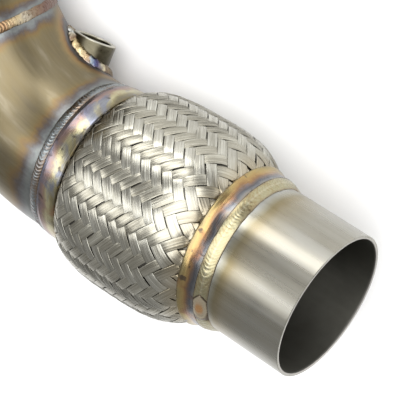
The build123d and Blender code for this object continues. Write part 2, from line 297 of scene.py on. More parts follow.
# ------------------------------------------------------------------ weld beads
def bead(name, left, right, crown, under, place, seed, n_rip, amp=0.16, chev=0.9, wob=0.25,
         n_top=17, per=7, skew=0.0, stop=None):
    """A welded ring of overlapping scales. left and right are (x, r) edges on the surfaces,
    crown the height above the chord, under the hidden points below, from right to left.
    stop is where round the ring, in turns, the weld ended over its own start."""
    n_phi = n_rip * per
    ph = np.arange(n_phi) / n_phi
    u = np.linspace(-1, 1, n_top)
    wl = smooth_noise(ph, seed, 3, 7) * wob
    wr = smooth_noise(ph, seed + 1, 3, 7) * wob
    drift = smooth_noise(ph, seed + 2, 2, 3) * 1.2
    fine = smooth_noise(ph, seed + 3, 3, 30)
    ridge = np.zeros((n_phi, n_top))
    phase = ph[:, None] * n_rip + drift[:, None] + chev * (1 - u[None, :] ** 2) + skew * u[None, :]
    fr = phase - np.floor(phase)
    scale = np.where(fr < 0.75, fr / 0.75, (1 - fr) / 0.25)
    ridge = (scale - 0.5) * amp * (1 - np.abs(u[None, :]) ** 5) * (1 + 0.35 * fine[:, None])
    xx = np.outer(left[0] - wl, (1 - u) / 2) + np.outer(right[0] + wr, (1 + u) / 2)
    rr = left[1] * (1 - u) / 2 + right[1] * (1 + u) / 2 + crown * (1 - u ** 2)
    rr = rr[None, :] + ridge + (fine * 0.06)[:, None] * (1 - u[None, :] ** 2)
    U = np.array(under, float)
    xx = np.concatenate([xx, np.tile(U[:, 0], (n_phi, 1))], 1)
    rr = np.concatenate([rr, np.tile(U[:, 1], (n_phi, 1))], 1)
    mark = np.zeros((n_phi, n_top))
    if stop is not None:
        d = ((stop - ph + 0.5) % 1.0 - 0.5)[:, None] * 2 * np.pi * left[1]
        lobe = np.clip(d / 4.6, 0, 1) ** 0.75
        mark = np.clip((lobe - np.abs(u[None, :]) * 0.90) / 0.8, 0, 1) * np.clip((19.0 - d) / 7.0, 0, 1) * (d > 0)
        rr[:, :n_top] += 0.30 * np.clip(mark * 4, 0, 1) * (1 - u[None, :] ** 4)
        spot = np.exp(-((d - 9.5) / 3.2) ** 2 - ((u[None, :] + 0.1) / 0.6) ** 2)
        mark = np.where(mark > 0, np.clip(0.12 + mark * 0.5, 0, 0.5) + 0.5 * spot, 0)
    a = (ph * 2 * np.pi)[:, None]
    P = np.stack([xx, rr * np.sin(a), rr * np.cos(a)], -1)
    n_pts = n_top + len(U)
    zero = np.zeros((n_phi, len(U)))
    att_u = np.concatenate([np.tile(u, (n_phi, 1)), zero], 1)
    att_f = np.concatenate([fr, zero], 1)
    att_m = np.concatenate([mark, zero], 1)
    att_h = np.tile(ph[:, None], (1, n_pts))
    return grid_mesh(name, place(P.reshape(-1, 3)), ring_quads(n_phi, n_pts)[:, ::-1],
                     {"weld_u": att_u, "weld_f": att_f, "weld_m": att_m, "weld_h": att_h})


same = lambda P: P


# ------------------------------------------------------------------ sensor bung
BUNG_R, BUNG_MINOR, BUNG_TOP, BUNG_PITCH = 11.5, 8.2, 51.4, 1.5
_a = math.radians(17.05)
BUNG_AT = np.array([X_ELBOW - BEND_R * math.sin(_a), BEND_R * (1 - math.cos(_a)), 0.0])
BUNG_T = np.array([-math.cos(_a), math.sin(_a), 0.0])
BUNG_D = 0.8245 * np.array([math.sin(_a), math.cos(_a), 0.0]) + 0.2679 * BUNG_T + np.array([0.0, 0.0, -0.4985])
BUNG_D = BUNG_D / np.linalg.norm(BUNG_D)
BUNG_AT = BUNG_AT - 9.0 * np.cross(BUNG_D, BUNG_T) / np.linalg.norm(np.cross(BUNG_D, BUNG_T))
BUNG_E1 = np.cross(BUNG_D, [0.0, 0.0, 1.0])
BUNG_E1 = BUNG_E1 / np.linalg.norm(BUNG_E1)
BUNG_E2 = np.cross(BUNG_D, BUNG_E1)


def bung_point(phi, r, h):
    phi, r, h = np.broadcast_arrays(phi, r, h)
    return BUNG_AT + BUNG_D * h[..., None] + BUNG_E1 * (r * np.cos(phi))[..., None] + BUNG_E2 * (r * np.sin(phi))[..., None]


def on_elbow(phi, r, sink=0.0):
    """Height along the bung's axis at which a line at radius r meets the elbow's outside."""
    phi, r = np.broadcast_arrays(phi, r)
    lo, hi = np.full(phi.shape, 25.0), np.full(phi.shape, 70.0)
    for _ in range(40):
        mid = (lo + hi) / 2
        P = bung_point(phi, r, mid)
        rho = np.hypot(P[..., 0] - X_ELBOW, P[..., 1] - BEND_R) - BEND_R
        out = np.hypot(rho, P[..., 2]) > RP - sink
        hi, lo = np.where(out, mid, hi), np.where(out, lo, mid)
    return (lo + hi) / 2


def make_bung():
    n_phi = 120
    phi = (np.arange(n_phi) / n_phi * 2 * np.pi)[:, None]
    foot = on_elbow(phi, BUNG_R, 0.5)
    rs_, hs_ = [], []
    for k in range(6):
        rs_.append(np.full_like(phi, BUNG_R))
        hs_.append(foot + (BUNG_TOP - 0.7 - foot) * k / 5)
    for r, h in ((BUNG_R - 0.12, -0.32), (BUNG_R - 0.42, -0.07), (BUNG_R - 0.8, 0.0), (BUNG_R - 1.4, 0.0), (BUNG_MINOR + 1.1, 0.0),
                 (BUNG_MINOR + 0.85, -0.15)):
        rs_.append(np.full_like(phi, r))
        hs_.append(np.full_like(phi, BUNG_TOP + h))
    low = on_elbow(phi, BUNG_MINOR, 0.5)
    n_h = 84
    for k in range(n_h + 1):
        h = BUNG_TOP - 0.9 - (BUNG_TOP - 0.9 - low) * k / n_h
        ph = h / BUNG_PITCH + phi / (2 * np.pi)
        tri = 1 - 2 * np.abs(ph - np.floor(ph) - 0.5)
        fade = np.clip((h - low) / 1.0, 0, 1)
        rs_.append(BUNG_MINOR + 0.78 * np.clip(tri * 1.25 - 0.12, 0, 1) * fade)
        hs_.append(h)
    rs_.append(np.full_like(phi, 9.6))
    hs_.append(on_elbow(phi, 9.6, 0.55))
    r, h = np.concatenate(rs_, 1), np.concatenate(hs_, 1)
    V = inlet(bung_point(phi, r, h).reshape(-1, 3))
    return grid_mesh("bung_threaded", V, ring_quads(n_phi, r.shape[1]))


def make_bung_bead():
    n_rip, per, n_top = 17, 14, 13
    n_phi = n_rip * per
    t = np.arange(n_phi) / n_phi
    phi = (t * 2 * np.pi)[:, None]
    u = np.linspace(-1, 1, n_top)[None, :]
    w1, w2, dr, fine = (smooth_noise(t, 70 + k, 3, b)[:, None] for k, b in enumerate((5, 4, 3, 22)))
    phase = phi / (2 * np.pi) * n_rip + dr * 1.3 + 0.7 * (1 - u ** 2)
    fr = phase - np.floor(phase)
    scale = np.where(fr < 0.72, fr / 0.72, (1 - fr) / 0.28) - 0.5
    r_b = BUNG_R + 4.2 + 0.7 * w2 + 0.2 * scale[:, n_top // 2][:, None]
    r_a = np.full_like(r_b, BUNG_R - 0.08)
    h_a = np.minimum(on_elbow(phi, BUNG_R) + 2.8 + 0.6 * w1 + 0.15 * scale[:, n_top // 2][:, None], BUNG_TOP - 1.3)
    h_b = on_elbow(phi, r_b) - 0.06
    r = r_a * (1 - u) / 2 + r_b * (1 + u) / 2
    h = h_a * (1 - u) / 2 + h_b * (1 + u) / 2
    up = 0.75 * (1 - u ** 2) + (0.30 * scale + 0.16 * fine) * (1 - np.abs(u) ** 4)
    nr, nh = (h_a - h_b), (r_b - r_a)
    ln = np.sqrt(nr ** 2 + nh ** 2)
    r, h = r + up * nr / ln, h + up * nh / ln
    r = np.maximum(r, BUNG_R - 0.08)
    under = [(r_b - 0.25, on_elbow(phi, r_b - 0.25, 0.45)), (np.full_like(r_b, BUNG_R + 1.0), on_elbow(phi, BUNG_R + 1.0, 0.45)),
             (np.full_like(r_b, BUNG_R - 0.3), on_elbow(phi, BUNG_R - 0.3, 0.45)), (np.full_like(r_b, BUNG_R - 0.3), h_a - 0.3)]
    r = np.concatenate([r] + [a for a, b in under], 1)
    h = np.concatenate([h] + [b for a, b in under], 1)
    V = inlet(bung_point(phi, r, h).reshape(-1, 3))
    zero = np.zeros((n_phi, len(under)))
    att = {"weld_u": np.concatenate([np.tile(u, (n_phi, 1)), zero], 1), "weld_f": np.concatenate([fr, zero], 1),
           "weld_m": np.concatenate([np.zeros((n_phi, n_top)), zero], 1),
           "weld_h": np.tile(t[:, None], (1, n_top + len(under)))}
    return grid_mesh("bung_bead", V, ring_quads(n_phi, r.shape[1]), att)


# ------------------------------------------------------------------ node materials
def N(nt, kind, **kw):
    n = nt.nodes.new(kind)
    for k, v in kw.items():
        if k.startswith("_"):
            setattr(n, k[1:], v)
        else:
            n.inputs[k.replace("__", " ")].default_value = v
    return n


class Mat:
    """Small helper for node trees."""

    def __init__(self, name):
        self.m = bpy.data.materials.new(name)
        self.m.use_nodes = True
        self.nt = self.m.node_tree
        self.b = self.nt.nodes["Principled BSDF"]
        self.b.inputs["Metallic"].default_value = 1.0

    def link(self, a, b):
        self.nt.links.new(a, b)

    def node(self, kind, **kw):
        return N(self.nt, kind, **kw)

    def math(self, op, a, b=None, c=None, clamp=False):
        n = self.nt.nodes.new("ShaderNodeMath")
        n.operation = op
        n.use_clamp = clamp
        for i, v in enumerate((a, b, c)):
            if v is None:
                continue
            if isinstance(v, (int, float)):
                n.inputs[i].default_value = v
            else:
                self.link(v, n.inputs[i])
        return n.outputs[0]

    def pipe_xyz(self, rel=None, at=None):
        """x, y, z in mm, in the pipe's own frame or one that is turned and moved in it."""
        R = R_LIE if rel is None else R_LIE @ rel
        S = SHIFT if at is None else R_LIE @ at + SHIFT
        tc = self.node("ShaderNodeTexCoord")
        mp = self.node("ShaderNodeMapping")
        Ri = Matrix(R.T.tolist()).to_3x3()
        mp.inputs["Rotation"].default_value = Ri.to_euler("XYZ")
        mp.inputs["Scale"].default_value = (1000, 1000, 1000)
        mp.inputs["Location"].default_value = Vector((-R.T @ S).tolist())
        self.link(tc.outputs["Object"], mp.inputs["Vector"])
        sp = self.node("ShaderNodeSeparateXYZ")
        self.link(mp.outputs[0], sp.inputs[0])
        return mp.outputs[0], sp.outputs[0], sp.outputs[1], sp.outputs[2]

    def combine(self, x, y, z):
        n = self.node("ShaderNodeCombineXYZ")
        for i, v in enumerate((x, y, z)):
            if isinstance(v, (int, float)):
                n.inputs[i].default_value = v
            else:
                self.link(v, n.inputs[i])
        return n.outputs[0]

    def noise(self, vec, scale, detail=4.0, rough=0.55, dist=0.0, dim="3D"):
        n = self.node("ShaderNodeTexNoise")
        n.noise_dimensions = dim
        self.link(vec, n.inputs["Vector"])
        n.inputs["Scale"].default_value = scale
        n.inputs["Detail"].default_value = detail
        n.inputs["Roughness"].default_value = rough
        n.inputs["Distortion"].default_value = dist
        return n.outputs["Fac"]

    def ramp(self, fac, stops, interp="LINEAR"):
        n = self.node("ShaderNodeValToRGB")
        el = n.color_ramp.elements
        n.color_ramp.interpolation = interp
        while len(el) > 1:
            el.remove(el[-1])
        el[0].position = stops[0][0]
        el[0].color = (*stops[0][1], 1)
        for p, c in stops[1:]:
            e = el.new(p)
            e.color = (*c, 1)
        self.link(fac, n.inputs[0])
        return n.outputs[0]

    def mix(self, fac, a, b, mode="MIX"):
        n = self.node("ShaderNodeMix")
        n.data_type = "RGBA"
        n.blend_type = mode
        n.clamp_factor = True
        for v, s in ((fac, n.inputs[0]), (a, n.inputs[6]), (b, n.inputs[7])):
            if isinstance(v, (int, float)):
                s.default_value = v
            elif isinstance(v, tuple):
                s.default_value = (*v, 1)
            else:
                self.link(v, s)
        return n.outputs[2]

    def remap(self, v, a, b, c=0.0, d=1.0, smooth=False):
        n = self.node("ShaderNodeMapRange")
        n.clamp = True
        if smooth:
            n.interpolation_type = "SMOOTHSTEP"
        self.link(v, n.inputs[0])
        for i, x in zip((1, 2, 3, 4), (a, b, c, d)):
            n.inputs[i].default_value = x
        return n.outputs[0]

    def bump(self, height, strength, dist, normal=None):
        n = self.node("ShaderNodeBump")
        n.inputs["Strength"].default_value = strength
        n.inputs["Distance"].default_value = dist
        self.link(height, n.inputs["Height"])
        if normal:
            self.link(normal, n.inputs["Normal"])
        return n.outputs[0]

    def attr(self, name):
        n = self.node("ShaderNodeAttribute")
        n.attribute_name = name
        return n.outputs["Fac"]

    def out(self, color=None, rough=None, normal=None):
        for v, k in ((color, "Base Color"), (rough, "Roughness"), (normal, "Normal")):
            if v is None:
                continue
            if isinstance(v, (int, float)):
                self.b.inputs[k].default_value = v
            elif isinstance(v, tuple):
                self.b.inputs[k].default_value = (*v, 1)
            else:
                self.link(v, self.b.inputs[k])
        return self.m


def polar(m, y, z):
    """Angle round the X axis, and its sine and cosine, seamless."""
    r = m.math("SQRT", m.math("ADD", m.math("MULTIPLY", y, y), m.math("MULTIPLY", z, z)))
    return m.math("DIVIDE", y, r), m.math("DIVIDE", z, r), r


# brushed stub, with an olive band beside the weld
def stub_material():
    m = Mat("stub_steel")
    vec, x, y, z = m.pipe_xyz(R_STUB)
    cy, cz, r = polar(m, y, z)
    streak = m.noise(m.combine(m.math("MULTIPLY", x, 0.012), m.math("MULTIPLY", cy, 24.0), m.math("MULTIPLY", cz, 24.0)), 1.0, 6.0, 0.6)
    lane = m.noise(m.combine(m.math("MULTIPLY", x, 0.006), m.math("MULTIPLY", cy, 4.2), m.math("MULTIPLY", cz, 4.2)), 1.0, 3.0, 0.5)
    cloud = m.noise(vec, 0.05, 3.0, 0.5)
    hoop = m.noise(m.combine(m.math("MULTIPLY", x, 2.4), m.math("MULTIPLY", cy, 1.2), m.math("MULTIPLY", cz, 1.2)), 1.0, 5.0, 0.6)
    wig = m.noise(m.combine(m.math("MULTIPLY", x, 0.05), m.math("MULTIPLY", cy, 2.6), m.math("MULTIPLY", cz, 2.6)), 1.0, 4.0, 0.55)
    s = m.math("ADD", x, m.math("MULTIPLY", m.math("SUBTRACT", wig, 0.5), 5.0))
    heat = m.ramp(m.remap(s, -4.0, 24.0), [
        (0.0, (0.29, 0.30, 0.315)), (0.13, (0.38, 0.39, 0.38)), (0.21, (0.34, 0.33, 0.275)), (0.31, (0.26, 0.222, 0.13)),
        (0.38, (0.285, 0.242, 0.15)), (0.50, (0.335, 0.305, 0.235)), (0.72, (0.345, 0.328, 0.280)), (1.0, (0.357, 0.351, 0.322))])
    tone = m.mix(m.remap(streak, 0.3, 0.7), (0.79, 0.785, 0.76), (0.85, 0.845, 0.825))
    col = m.mix(1.0, heat, tone, "MULTIPLY")
    col = m.mix(1.0, col, m.mix(m.remap(lane, 0.30, 0.70, 0.0, 1.0, True), (0.78, 0.76, 0.71), (1.0, 1.0, 1.0)), "MULTIPLY")
    col = m.mix(m.remap(cloud, 0.35, 0.75, 0.0, 0.3), col, (0.33, 0.315, 0.275))
    # painted shade: the bore is painted dark inside, in place of the shade that falls there
    inside = m.math("LESS_THAN", r, 37.2)
    painted_bore_shade = m.ramp(m.noise(vec, 0.05, 4.0, 0.55), [(0.25, (0.112, 0.109, 0.093)), (0.55, (0.137, 0.134, 0.115)), (0.8, (0.166, 0.162, 0.140))])
    # painted light: the rim and the first millimetre inside the mouth are painted lighter than the painted shade of the
    # bore
    painted_mouth_light = m.remap(x, 42.2, 43.4, 0.0, 1.0)
    painted_bore_shade = m.mix(m.math("MULTIPLY", painted_mouth_light, 0.7), painted_bore_shade, (0.5, 0.48, 0.45))
    col = m.mix(inside, col, painted_bore_shade)
    rough = m.math("ADD", m.remap(streak, 0.3, 0.7, 0.26, 0.31), m.math("MULTIPLY", inside, 0.22))
    h = m.math("ADD", m.math("MULTIPLY", streak, 0.6), m.math("MULTIPLY", hoop, 0.4))
    m.out(col, rough, m.bump(h, 0.008, 0.0002))
    m.b.inputs["Anisotropic"].default_value = 0.3
    return m.m


def elbow_material(name="tinted_steel", second=False):
    """Heat-tinted tube. Distance runs from the weld along the bend."""
    m = Mat(name)
    vec, x, y, z = m.pipe_xyz(R_IN, IN_AT)
    if not second:
        dx = m.math("SUBTRACT", X_ELBOW, x)
        dy = m.math("SUBTRACT", BEND_R, y)
        a = m.math("ARCTAN2", dx, dy)
        rho = m.math("SQRT", m.math("ADD", m.math("MULTIPLY", dx, dx), m.math("MULTIPLY", dy, dy)))
        inner = m.math("SUBTRACT", BEND_R, rho)
        s = m.math("MULTIPLY", a, BEND_R)
        total = BEND_R * math.radians(BEND_DEG)
    else:
        h1 = math.radians(H1)
        cx, cy_ = P1[0] + BEND2_R * math.sin(h1), P1[1] - BEND2_R * math.cos(h1)
        dx = m.math("SUBTRACT", cx, x)
        dy = m.math("SUBTRACT", cy_, y)
        a = m.math("SUBTRACT", m.math("ARCTAN2", dx, dy), math.radians(BEND_DEG))
        rho = m.math("SQRT", m.math("ADD", m.math("MULTIPLY", dx, dx), m.math("MULTIPLY", dy, dy)))
        inner = m.math("SUBTRACT", BEND2_R, rho)
        s = m.math("MULTIPLY", a, BEND2_R)
        total = BEND2_R * math.radians(TOTAL_DEG - BEND_DEG) + UPPER_STRAIGHT
    rr = m.math("SQRT", m.math("ADD", m.math("MULTIPLY", inner, inner), m.math("MULTIPLY", z, z)))
    ci, cz = m.math("DIVIDE", inner, rr), m.math("DIVIDE", z, rr)
    wig = m.noise(m.combine(m.math("MULTIPLY", s, 0.05), m.math("MULTIPLY", ci, 3.2), m.math("MULTIPLY", cz, 3.2)), 1.0, 5.0, 0.6)
    wig2 = m.noise(m.combine(m.math("MULTIPLY", s, 0.02), m.math("MULTIPLY", ci, 8.0), m.math("MULTIPLY", cz, 8.0)), 1.0, 4.0, 0.6)
    off = m.math("ADD", m.math("MULTIPLY", m.math("SUBTRACT", wig, 0.5), 17.0), m.math("MULTIPLY", m.math("SUBTRACT", wig2, 0.5), 9.0))
    s1 = m.math("ADD", s, off)
    s2 = m.math("ADD", m.math("SUBTRACT", total, s), off)
    band = [
        (0.00, (0.20, 0.19, 0.19)), (0.07, (0.28, 0.31, 0.34)), (0.15, (0.33, 0.37, 0.40)), (0.22, (0.24, 0.25, 0.285)),
        (0.28, (0.20, 0.175, 0.18)), (0.34, (0.26, 0.195, 0.135)), (0.41, (0.33, 0.235, 0.12)), (0.50, (0.31, 0.255, 0.14)),
        (0.66, (0.28, 0.24, 0.155)), (1.0, (0.28, 0.245, 0.17))]
    near = m.math("MINIMUM", s1, s2)
    heat = m.ramp(m.remap(near, 0.0, 38.0), band)
    haze = m.noise(m.combine(m.math("MULTIPLY", s, 0.16), m.math("MULTIPLY", ci, 5.0), m.math("MULTIPLY", cz, 5.0)), 1.0, 5.0, 0.62)
    heat = m.mix(m.math("MULTIPLY", m.remap(haze, 0.45, 0.62), m.remap(near, 15.0, 3.0, 0.0, 0.75)), heat, (0.36, 0.39, 0.41))
    streak = m.noise(m.combine(m.math("MULTIPLY", s, 0.014), m.math("MULTIPLY", ci, 3.6), m.math("MULTIPLY", cz, 3.6)), 1.0, 4.0, 0.5)
    fine = m.noise(m.combine(m.math("MULTIPLY", s, 0.03), m.math("MULTIPLY", ci, 38.0), m.math("MULTIPLY", cz, 38.0)), 1.0, 5.0, 0.6)
    cloud = m.noise(vec, 0.03, 4.0, 0.55)
    bronze = m.ramp(streak, [(0.30, (0.245, 0.215, 0.155)), (0.42, (0.275, 0.235, 0.15)), (0.52, (0.29, 0.255, 0.175)), (0.59, (0.39, 0.355, 0.275)), (0.66, (0.32, 0.285, 0.21)), (0.75, (0.29, 0.25, 0.18))])
    far = m.remap(near, 12.0, 28.0, 0.0, 0.85, True)
    col = m.mix(far, heat, bronze)
    col = m.mix(m.remap(cloud, 0.5, 0.78, 0.0, 0.28), col, (0.25, 0.24, 0.23))
    if not second:
        # heat ring round the sensor bung
        sub, cross, ln = m.node("ShaderNodeVectorMath"), m.node("ShaderNodeVectorMath"), m.node("ShaderNodeVectorMath")
        sub.operation, cross.operation, ln.operation = "SUBTRACT", "CROSS_PRODUCT", "LENGTH"
        sub.inputs[1].default_value = BUNG_AT.tolist()
        cross.inputs[1].default_value = BUNG_D.tolist()
        m.link(vec, sub.inputs[0])
        m.link(sub.outputs[0], cross.inputs[0])
        m.link(cross.outputs[0], ln.inputs[0])
        hb = m.math("ADD", m.math("SUBTRACT", ln.outputs["Value"], BUNG_R + 4.0), m.math("MULTIPLY", m.math("SUBTRACT", haze, 0.5), 5.0))
        ring = m.ramp(m.remap(hb, 0.0, 14.0), [
            (0.0, (0.09, 0.09, 0.10)), (0.08, (0.10, 0.10, 0.12)), (0.16, (0.20, 0.22, 0.26)), (0.24, (0.20, 0.15, 0.16)), (0.32, (0.42, 0.26, 0.13)),
            (0.45, (0.50, 0.35, 0.17)), (0.62, (0.40, 0.32, 0.18)), (0.8, (0.31, 0.265, 0.17)), (1.0, (0.29, 0.25, 0.17))])
        dot = m.node("ShaderNodeVectorMath")
        dot.operation = "DOT_PRODUCT"
        dot.inputs[1].default_value = BUNG_D.tolist()
        m.link(sub.outputs[0], dot.inputs[0])
        near_side = m.math("GREATER_THAN", dot.outputs["Value"], 0.0)
        col = m.mix(m.math("MULTIPLY", near_side, m.remap(hb, 7.0, 13.5, 0.9, 0.0, True)), col, ring)
    col = m.mix(1.0, col, m.mix(m.remap(fine, 0.3, 0.7), (0.50, 0.475, 0.425), (0.575, 0.55, 0.50)), "MULTIPLY")
    # painted shade: the bore is painted dark inside, in place of the shade that falls there
    inside = m.math("LESS_THAN", rr, 40.6)
    painted_bore_shade = m.ramp(m.noise(vec, 0.09, 5.0, 0.6), [(0.25, (0.10, 0.093, 0.082)), (0.6, (0.15, 0.14, 0.125)), (0.8, (0.19, 0.178, 0.158))])
    col = m.mix(inside, col, painted_bore_shade)
    rough = m.math("ADD", m.remap(fine, 0.3, 0.7, 0.30, 0.40), m.math("MULTIPLY", inside, 0.12))
    m.out(col, rough, m.bump(m.math("ADD", m.math("MULTIPLY", fine, 0.5), m.math("MULTIPLY", cloud, 1.5)), 0.12, 0.0005))
    return m.m


def weld_material(name, stops, hue_seed=0.0, base_rough=0.26, rel=None, at=None, edge_col=(0.17, 0.125, 0.09), contrast=0.16, ridge=0.0,
                  guide=False):
    """Rippled weld metal; weld_u runs across the bead from -1 to 1, weld_f along one scale."""
    m = Mat(name)
    vec, x, y, z = m.pipe_xyz(rel, at)
    u, f = m.attr("weld_u"), m.attr("weld_f")
    sh = m.node("ShaderNodeVectorMath")
    sh.operation = "ADD"
    sh.inputs[1].default_value = (hue_seed, hue_seed * 1.7, -hue_seed)
    m.link(vec, sh.inputs[0])
    patch = m.noise(sh.outputs[0], 0.06, 4.0, 0.6, 0.4)
    small = m.noise(sh.outputs[0], 0.5, 4.0, 0.6)
    t = m.math("ADD", m.math("ADD", m.math("MULTIPLY", patch, 0.95), m.math("MULTIPLY", small, 0.25)),
               m.math("MULTIPLY", m.math("SUBTRACT", f, 0.5), contrast))
    t = m.math("ADD", t, m.math("MULTIPLY", m.math("MULTIPLY", u, u), -0.12))
    if guide:
        t = m.math("ADD", m.attr("weld_h"), m.math("ADD", m.math("MULTIPLY", m.math("SUBTRACT", small, 0.5), 0.05),
                                                   m.math("MULTIPLY", m.math("SUBTRACT", patch, 0.5), 0.05)))
        col = m.ramp(t, stops)
        col = m.mix(1.0, col, m.ramp(small, [(0.30, (0.62, 0.56, 0.50)), (0.50, (0.95, 0.93, 0.90)), (0.68, (1.0, 1.0, 1.0))]), "MULTIPLY")
    else:
        col = m.ramp(m.remap(t, 0.25, 0.95), stops)
    if ridge:
        col = m.mix(m.remap(m.math("ABSOLUTE", u), 0.0, 0.22, ridge, 0.0, True), col, (0.58, 0.55, 0.44))
    edge = m.remap(m.math("ABSOLUTE", u), 0.70, 1.0, 0.0, 0.75, True)
    col = m.mix(edge, col, edge_col)
    line = m.remap(f, 0.84, 1.0, 0.0, 0.4)
    col = m.mix(line, col, (0.15, 0.115, 0.085))
    spot = m.attr("weld_m")
    col = m.mix(m.remap(spot, 0.01, 0.08, 0.0, 0.95), col, (0.07, 0.05, 0.035))
    col = m.mix(m.remap(spot, 0.20, 0.30, 0.0, 0.9), col, (0.50, 0.43, 0.31))
    col = m.mix(m.remap(spot, 0.45, 0.85, 0.0, 0.85, True), col, (0.50, 0.26, 0.10))
    rough = m.remap(small, 0.3, 0.7, base_rough - 0.05, base_rough + 0.10)
    m.out(col, rough, m.bump(small, 0.25, 0.0003))
    return m.m


def collar_material(name, stops, x_a, x_b, rel=None, at=None, spots=(0.62, 0.72), blue=(0.42, 0.30), shift=0.0):
    """Pressed collar: heat tint that runs from the braid side, 0, to the weld side, 1."""
    m = Mat(name)
    vec, x, y, z = m.pipe_xyz(rel, at)
    cy, cz, r = polar(m, y, z)
    wig = m.noise(m.combine(m.math("MULTIPLY", x, 0.05), m.math("MULTIPLY", cy, 2.6), m.math("ADD", m.math("MULTIPLY", cz, 2.6), shift)), 1.0, 5.0, 0.6, 0.5)
    sh = m.node("ShaderNodeVectorMath")
    sh.operation = "ADD"
    sh.inputs[1].default_value = (shift * 11.0, shift * 7.0, shift * 5.0)
    m.link(vec, sh.inputs[0])
    patch = m.noise(sh.outputs[0], 0.055, 4.0, 0.6, 0.6)
    dots = m.noise(sh.outputs[0], 0.22, 3.0, 0.5, 0.3)
    hoop = m.noise(m.combine(m.math("MULTIPLY", x, 3.0), m.math("MULTIPLY", cy, 1.6), m.math("MULTIPLY", cz, 1.6)), 1.0, 5.0, 0.6)
    t = m.math("ADD", m.remap(x, x_a, x_b), m.math("MULTIPLY", m.math("SUBTRACT", wig, 0.5), 0.9))
    col = m.ramp(t, stops)
    col = m.mix(m.remap(patch, 0.56, 0.68, 0.0, 0.7), col, (0.26, 0.13, 0.07))
    col = m.mix(m.remap(patch, *blue, 0.0, 0.8), col, (0.17, 0.19, 0.26))
    col = m.mix(m.remap(dots, *spots, 0.0, 0.8), col, (0.07, 0.055, 0.05))
    col = m.mix(1.0, col, m.mix(m.remap(hoop, 0.3, 0.7), (0.86, 0.84, 0.82), (1.0, 1.0, 1.0)), "MULTIPLY")
    m.out(col, m.remap(hoop, 0.3, 0.7, 0.18, 0.30), m.bump(hoop, 0.12, 0.0003))
    return m.m


def braid_material(name, lit_family):
    m = Mat(name)
    vec, x, y, z = m.pipe_xyz(R_FLEX, FLEX_AT - R_FLEX @ FLEX_AT)
    tone, across, along, lift = m.attr("tone"), m.attr("across"), m.attr("along"), m.attr("lift")
    patch = m.noise(vec, 0.06, 3.0, 0.55)
    streak = m.noise(m.combine(m.math("MULTIPLY", across, 7.0), m.math("MULTIPLY", along, 0.35), lit_family * 9.0), 1.0, 3.0, 0.6)
    t = m.math("ADD", m.math("MULTIPLY", tone, 0.10), m.math("ADD", m.math("MULTIPLY", streak, 0.7), m.math("MULTIPLY", patch, 0.5)))
    col = m.ramp(m.remap(t, 0.25, 0.95), [
        (0.0, (0.17, 0.16, 0.13)), (0.35, (0.265, 0.255, 0.215)), (0.6, (0.355, 0.345, 0.30)), (0.85, (0.46, 0.455, 0.40)), (1.0, (0.60, 0.595, 0.545))])
    # painted shade: family a is painted darker than family b, as one family of the weave catches less light
    if lit_family < 0.5:
        col = m.mix(1.0, col, (0.93, 0.915, 0.88), "MULTIPLY")
    # a faint warm tint near the two collars
    end = m.math("MINIMUM", m.math("SUBTRACT", x, XCI), m.math("SUBTRACT", XCO, x))
    col = m.mix(m.remap(end, 0.0, 9.0, 0.45, 0.0, True), col, (0.33, 0.26, 0.15))
    # painted shade: the ribbons are painted darker where they dip under the crossing ribbons
    low = m.remap(lift, -1.0, 0.0, 0.85, 0.0, True)
    col = m.mix(low, col, (0.055, 0.05, 0.042))
    m.out(col, m.remap(streak, 0.3, 0.7, 0.22, 0.34), m.bump(streak, 0.18, 0.0002))
    return m.m


def plain_material(name, dark, light, scale, rough=(0.25, 0.4), bump=0.1, stretch=(1, 1, 1), rim=None, rel=None, at=None):
    m = Mat(name)
    vec, x, y, z = m.pipe_xyz(rel, at)
    v = m.combine(m.math("MULTIPLY", x, stretch[0]), m.math("MULTIPLY", y, stretch[1]), m.math("MULTIPLY", z, stretch[2]))
    n = m.noise(v, scale, 5.0, 0.6)
    big = m.noise(vec, scale * 0.2, 3.0, 0.5)
    col = m.ramp(m.math("ADD", m.math("MULTIPLY", n, 0.6), m.math("MULTIPLY", big, 0.4)), [(0.3, dark), (0.7, light)])
    if rim is not None:
        # painted highlight: brighter colour above a height along an axis, for the lit top edge of a rim
        point, axis, height = rim
        up = m.math("ADD", m.math("MULTIPLY", x, float(axis[0])), m.math("ADD", m.math("MULTIPLY", y, float(axis[1])), m.math("MULTIPLY", z, float(axis[2]))))
        col = m.mix(m.remap(up, float(point @ axis) + height - 0.75, float(point @ axis) + height - 0.3, 0.0, 0.9, True), col, (0.50, 0.48, 0.41))
    m.out(col, m.remap(n, 0.3, 0.7, *rough), m.bump(n, bump, 0.0003))
    return m.m


def set_mat(ob, mat):
    ob.data.materials.clear()
    ob.data.materials.append(mat)


# ------------------------------------------------------------------ pieces
braid_parts = []
for fam, seed in (("a", 11), ("b", 23)):
    ob = ribbons(f"braid_ribbons_{fam}", fam, seed)
    set_mat(ob, braid_material(f"braid_steel_{fam}", 0.0 if fam == "a" else 1.0))
    braid_parts.append(ob)


def copy_of(node, name):
    me = NODES[node].data.copy()
    me.name = name
    # the import splits vertices at every crease: weld them, so that the piece is closed
    if "custom_normal" in me.attributes:
        me.attributes.remove(me.attributes["custom_normal"])
    bm = bmesh.new()
    bm.from_mesh(me)
    bmesh.ops.remove_doubles(bm, verts=bm.verts, dist=2e-6)
    bm.to_mesh(me)
    bm.free()
    me.shade_smooth()
    me.set_sharp_from_angle(angle=0.6)
    ob = bpy.data.objects.new(name, me)
    bpy.context.scene.collection.objects.link(ob)
    return ob


bellows = copy_of("bellows", "bellows_folds")
set_mat(bellows, plain_material("bellows_steel", (0.10, 0.095, 0.09), (0.26, 0.25, 0.23), 0.4))
liner = copy_of("interlock_liner", "liner_strip")
set_mat(liner, plain_material("liner_steel", (0.16, 0.15, 0.13), (0.32, 0.30, 0.27), 0.3, (0.35, 0.5)))
for ob in braid_parts + [bellows, liner]:
    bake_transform(ob)
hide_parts("outer_braid")
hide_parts("outer_braid")
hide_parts("bellows")
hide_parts("interlock_liner")

